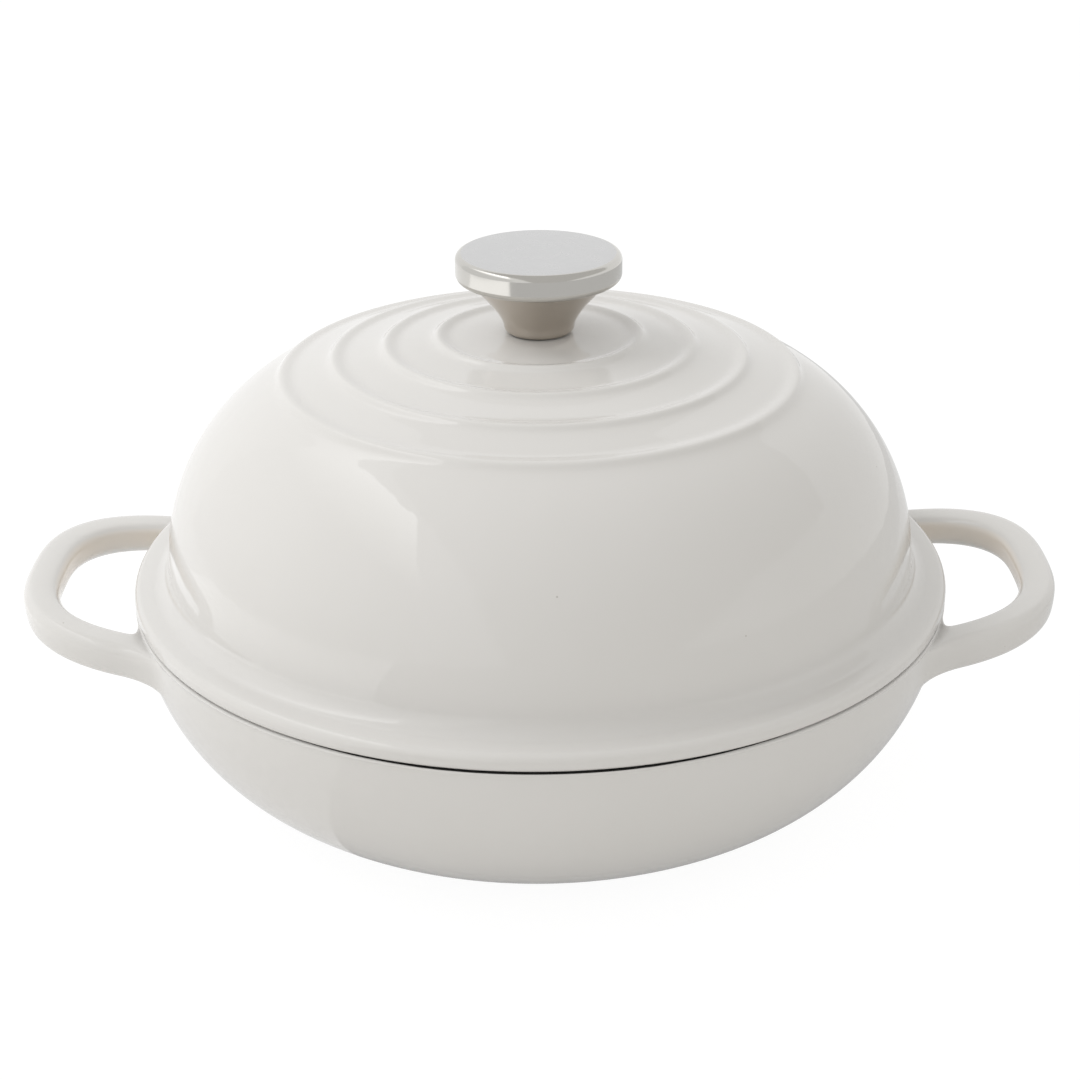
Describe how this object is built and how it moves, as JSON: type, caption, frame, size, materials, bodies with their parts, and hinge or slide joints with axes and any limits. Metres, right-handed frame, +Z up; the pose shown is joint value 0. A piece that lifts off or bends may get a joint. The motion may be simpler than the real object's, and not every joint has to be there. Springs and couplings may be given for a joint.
{
  "type": "cast iron bread oven",
  "caption": "White enamelled cast iron bread oven: a shallow two-handled pan under a tall dome lid with raised rings and a steel knob.",
  "frame": {"origin": "centre of the pan's base, on the surface it stands on", "axes": "+Z up the pan's turning axis; the two handles lie along +X and -X"},
  "size_m": [0.3208, 0.252, 0.1672],
  "materials": {
    "pan_enamel": "gloss vitreous enamel on cast iron, matte black on the rim",
    "lid_enamel": "gloss vitreous enamel on cast iron, matte black on the seat and lip",
    "satin_steel": "satin stainless steel",
    "polished_steel": "bright stainless steel",
    "zinc_steel": "zinc plated steel",
    "black_silicone": "matte silicone rubber"
  },
  "bodies": {
    "pan": {"pan": "pan_enamel"},
    "lid": {"lid": "lid_enamel", "knob_cap": "satin_steel", "knob_neck": "polished_steel", "knob_insert": "zinc_steel", "knob_screw": "zinc_steel", "knob_washer": "zinc_steel", "knob_lock_washer": "zinc_steel", "knob_gasket": "black_silicone"}
  },
  "joints": [
    {"name": "lid_lift", "type": "slide", "parent": "pan", "child": "lid", "axis": [0, 0, 1], "range_m": [0, 0.2]}
  ]
}
